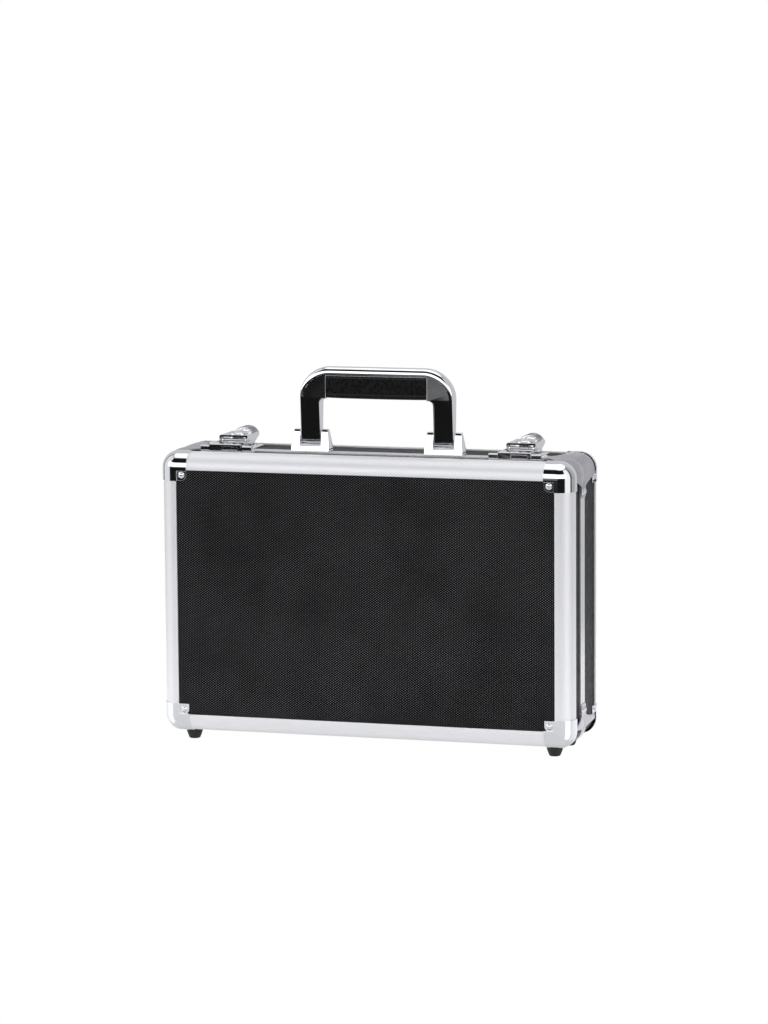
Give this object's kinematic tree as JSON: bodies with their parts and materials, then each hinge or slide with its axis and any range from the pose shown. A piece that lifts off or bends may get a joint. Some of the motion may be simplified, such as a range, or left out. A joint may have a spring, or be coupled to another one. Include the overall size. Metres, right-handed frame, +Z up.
{
  "type": "art supply box",
  "caption": "Upright hard case with an aluminium edge frame, chrome corner caps, a folding carrying handle, key latches and a hinged front lid.",
  "frame": {"origin": "middle of the floor face of the feet, under the centre of the case", "axes": "+Z up with the case standing on its feet, X to the right across its width, -Y towards the front lid"},
  "size_m": [0.3436, 0.0924, 0.3025],
  "materials": {
    "black_panel": "black laminated board with a fine raised diamond texture, semi-matte",
    "black_board": "black laminated board, fine grain, semi-matte",
    "edge_aluminium": "satin silver anodised extrusion",
    "rim_aluminium": "satin silver anodised closure profile",
    "chrome": "bright chrome plated steel pressing",
    "brushed_cover": "brushed steel pressing",
    "latch_chrome": "bright chrome plated steel",
    "rivet": "bright plated rivet heads",
    "hinge_steel": "nickel plated steel",
    "pin_steel": "plain steel",
    "lock_brass": "nickel plated lock plug with a dark key slot",
    "foot_rubber": "matte black moulded rubber",
    "grip_plastic": "matte black moulded grip",
    "lining": "black felt over thin foam"
  },
  "bodies": {
    "base": {"base_panel": "black_panel", "base_top_board": "black_board", "base_top_extrusion": "edge_aluminium", "base_bottom_board": "black_board", "base_bottom_extrusion": "edge_aluminium", "base_left_board": "black_board", "base_left_extrusion": "edge_aluminium", "base_right_board": "black_board", "base_right_extrusion": "edge_aluminium", "base_top_left_cap": "chrome", "base_top_right_cap": "chrome", "base_bottom_left_cap": "chrome", "base_bottom_right_cap": "chrome", "base_corner_posts": "black_board", "base_rim": "rim_aluminium", "base_corner_covers": "brushed_cover", "base_lining": "lining", "base_left_foot": "foot_rubber", "base_right_foot": "foot_rubber", "base_rivets": "rivet", "base_hinge_leaves": "hinge_steel", "hinge_pins": "pin_steel", "handle_brackets": "chrome", "handle_pins": "pin_steel", "lever_pins": "pin_steel", "latch_base_left": "latch_chrome", "latch_base_right": "latch_chrome"},
    "lid": {"lid_panel": "black_panel", "lid_top_board": "black_board", "lid_top_extrusion": "edge_aluminium", "lid_bottom_board": "black_board", "lid_bottom_extrusion": "edge_aluminium", "lid_left_board": "black_board", "lid_left_extrusion": "edge_aluminium", "lid_right_board": "black_board", "lid_right_extrusion": "edge_aluminium", "lid_top_left_cap": "chrome", "lid_top_right_cap": "chrome", "lid_bottom_left_cap": "chrome", "lid_bottom_right_cap": "chrome", "lid_corner_posts": "black_board", "lid_rim": "rim_aluminium", "lid_corner_covers": "brushed_cover", "lid_lining": "lining", "lid_left_foot": "foot_rubber", "lid_right_foot": "foot_rubber", "lid_rivets": "rivet", "lid_hinge_leaves": "hinge_steel", "strike_left": "latch_chrome", "strike_right": "latch_chrome"},
    "handle": {"handle_frame": "chrome", "handle_grip": "grip_plastic"},
    "lever_left": {"latch_lever_left": "latch_chrome", "claw_pins_left": "pin_steel"},
    "lever_right": {"latch_lever_right": "latch_chrome", "claw_pins_right": "pin_steel"},
    "claw_left": {"latch_claw_left": "latch_chrome"},
    "claw_right": {"latch_claw_right": "latch_chrome"},
    "lock_left": {"lock_cylinder_left": "lock_brass"},
    "lock_right": {"lock_cylinder_right": "lock_brass"}
  },
  "joints": [
    {"name": "lid_hinge", "type": "hinge", "parent": "base", "child": "lid", "pos_m": [0, -0.0085, 0.0068], "axis": [1, 0, 0], "range_deg": [0, 100]},
    {"name": "handle_pivot", "type": "hinge", "parent": "base", "child": "handle", "pos_m": [0, -0.00175, 0.2435], "axis": [1, 0, 0], "range_deg": [-85, 85]},
    {"name": "latch_lever_left", "type": "hinge", "parent": "base", "child": "lever_left", "pos_m": [-0.1195, -0.005, 0.2415], "axis": [1, 0, 0], "range_deg": [0, 85]},
    {"name": "latch_claw_left", "type": "hinge", "parent": "lever_left", "child": "claw_left", "pos_m": [-0.1195, 0.003, 0.2388], "axis": [1, 0, 0], "range_deg": [-85, 0]},
    {"name": "lock_left", "type": "hinge", "parent": "lever_left", "child": "lock_left", "pos_m": [-0.1195, 0.0045, 0.243], "axis": [0, 0, 1], "range_deg": [0, 90]},
    {"name": "latch_lever_right", "type": "hinge", "parent": "base", "child": "lever_right", "pos_m": [0.1195, -0.005, 0.2415], "axis": [1, 0, 0], "range_deg": [0, 85]},
    {"name": "latch_claw_right", "type": "hinge", "parent": "lever_right", "child": "claw_right", "pos_m": [0.1195, 0.003, 0.2388], "axis": [1, 0, 0], "range_deg": [-85, 0]},
    {"name": "lock_right", "type": "hinge", "parent": "lever_right", "child": "lock_right", "pos_m": [0.1195, 0.0045, 0.243], "axis": [0, 0, 1], "range_deg": [0, 90]}
  ],
  "couplings": [
    {"joint": "latch_claw_left", "follows": "latch_lever_left", "ratio": -1},
    {"joint": "latch_claw_right", "follows": "latch_lever_right", "ratio": -1}
  ]
}
